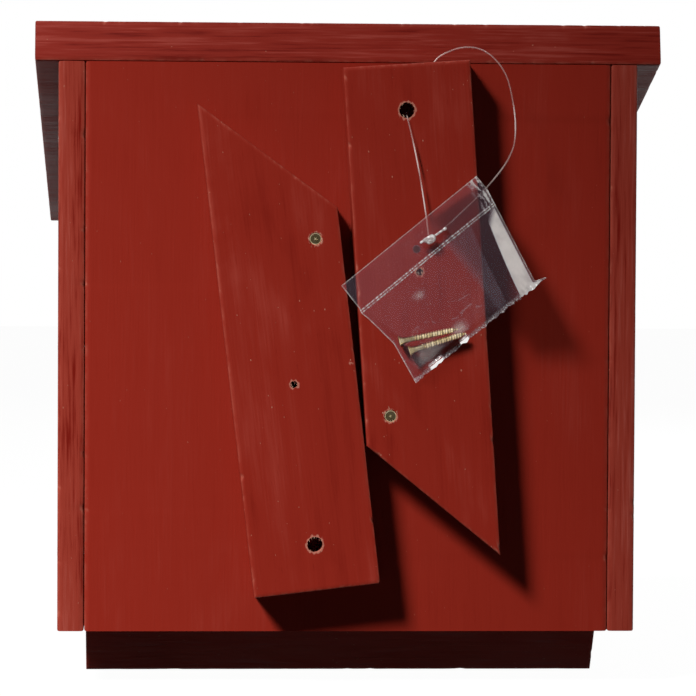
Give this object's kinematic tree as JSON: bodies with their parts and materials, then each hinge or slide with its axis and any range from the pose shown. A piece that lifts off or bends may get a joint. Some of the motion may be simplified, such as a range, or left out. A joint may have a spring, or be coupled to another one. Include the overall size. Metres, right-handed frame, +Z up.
{
  "type": "lacewing house",
  "caption": "Louvred wooden insect house filled with straw, with a sloping roof board and two mounting battens that turn out from its back.",
  "frame": {"origin": "under the middle of the house, on the surface that the floor slats stand on", "axes": "+Z up; +Y out of the louvred front; the back with the mounting battens faces -Y; +X to the right seen from the back"},
  "size_m": [0.32, 0.3647, 0.3396],
  "materials": {
    "board_stain": "red-brown stained softwood, satin",
    "batten_stain": "red-brown stained softwood batten, rough sawn",
    "roof_stain": "red-brown stained softwood board",
    "slat_stain": "red-brown stained softwood slat",
    "straw": "dry wheat straw",
    "yellow_zinc": "yellow zinc plated steel",
    "nail_steel": "bright steel wire nail",
    "clear_nylon": "clear nylon",
    "bag_film": "clear thin polyethylene film"
  },
  "bodies": {
    "root": {"roof_board": "roof_stain", "back_panel": "board_stain", "side_board_left": "board_stain", "side_board_right": "board_stain", "floor_slat_1": "slat_stain", "floor_slat_2": "slat_stain", "floor_slat_3": "slat_stain", "floor_slat_4": "slat_stain", "floor_slat_5": "slat_stain", "front_slat_1": "slat_stain", "front_slat_2": "slat_stain", "front_slat_3": "slat_stain", "front_slat_4": "slat_stain", "straw_fill": "straw", "roof_screw_1": "yellow_zinc", "roof_screw_2": "yellow_zinc", "roof_screw_3": "yellow_zinc", "roof_screw_4": "yellow_zinc", "batten_screw_left": "yellow_zinc", "batten_screw_right": "yellow_zinc", "nail_floor_slat_1_left": "nail_steel", "nail_floor_slat_1_right": "nail_steel", "nail_floor_slat_2_left": "nail_steel", "nail_floor_slat_2_right": "nail_steel", "nail_floor_slat_3_left": "nail_steel", "nail_floor_slat_3_right": "nail_steel", "nail_floor_slat_4_left": "nail_steel", "nail_floor_slat_4_right": "nail_steel", "nail_floor_slat_5_left": "nail_steel", "nail_floor_slat_5_right": "nail_steel", "nail_front_slat_1_left": "nail_steel", "nail_front_slat_1_right": "nail_steel", "nail_front_slat_2_left": "nail_steel", "nail_front_slat_2_right": "nail_steel", "nail_front_slat_3_left": "nail_steel", "nail_front_slat_3_right": "nail_steel", "nail_front_slat_4_left": "nail_steel", "nail_front_slat_4_right": "nail_steel", "nail_back_1_left": "nail_steel", "nail_back_1_right": "nail_steel", "nail_back_2_left": "nail_steel", "nail_back_2_right": "nail_steel", "nail_back_3_left": "nail_steel", "nail_back_3_right": "nail_steel"},
    "batten_left": {"mounting_batten_left": "batten_stain"},
    "batten_right": {"mounting_batten_right": "batten_stain", "tag_loop": "clear_nylon", "tag_lock": "clear_nylon", "screw_bag": "bag_film", "spare_screw_1": "yellow_zinc", "spare_screw_2": "yellow_zinc"}
  },
  "joints": [
    {"name": "batten_left_turn", "type": "hinge", "parent": "root", "child": "batten_left", "pos_m": [-0.01775, -0.167, 0.22924], "axis": [0, 1, 0], "range_deg": [0, 186.79]},
    {"name": "batten_right_turn", "type": "hinge", "parent": "root", "child": "batten_right", "pos_m": [0.02075, -0.16809, 0.13956], "axis": [0, 1, 0], "range_deg": [0, 183.88]}
  ],
  "couplings": [
    {"joint": "batten_right_turn", "follows": "batten_left_turn", "ratio": 0.98442}
  ]
}
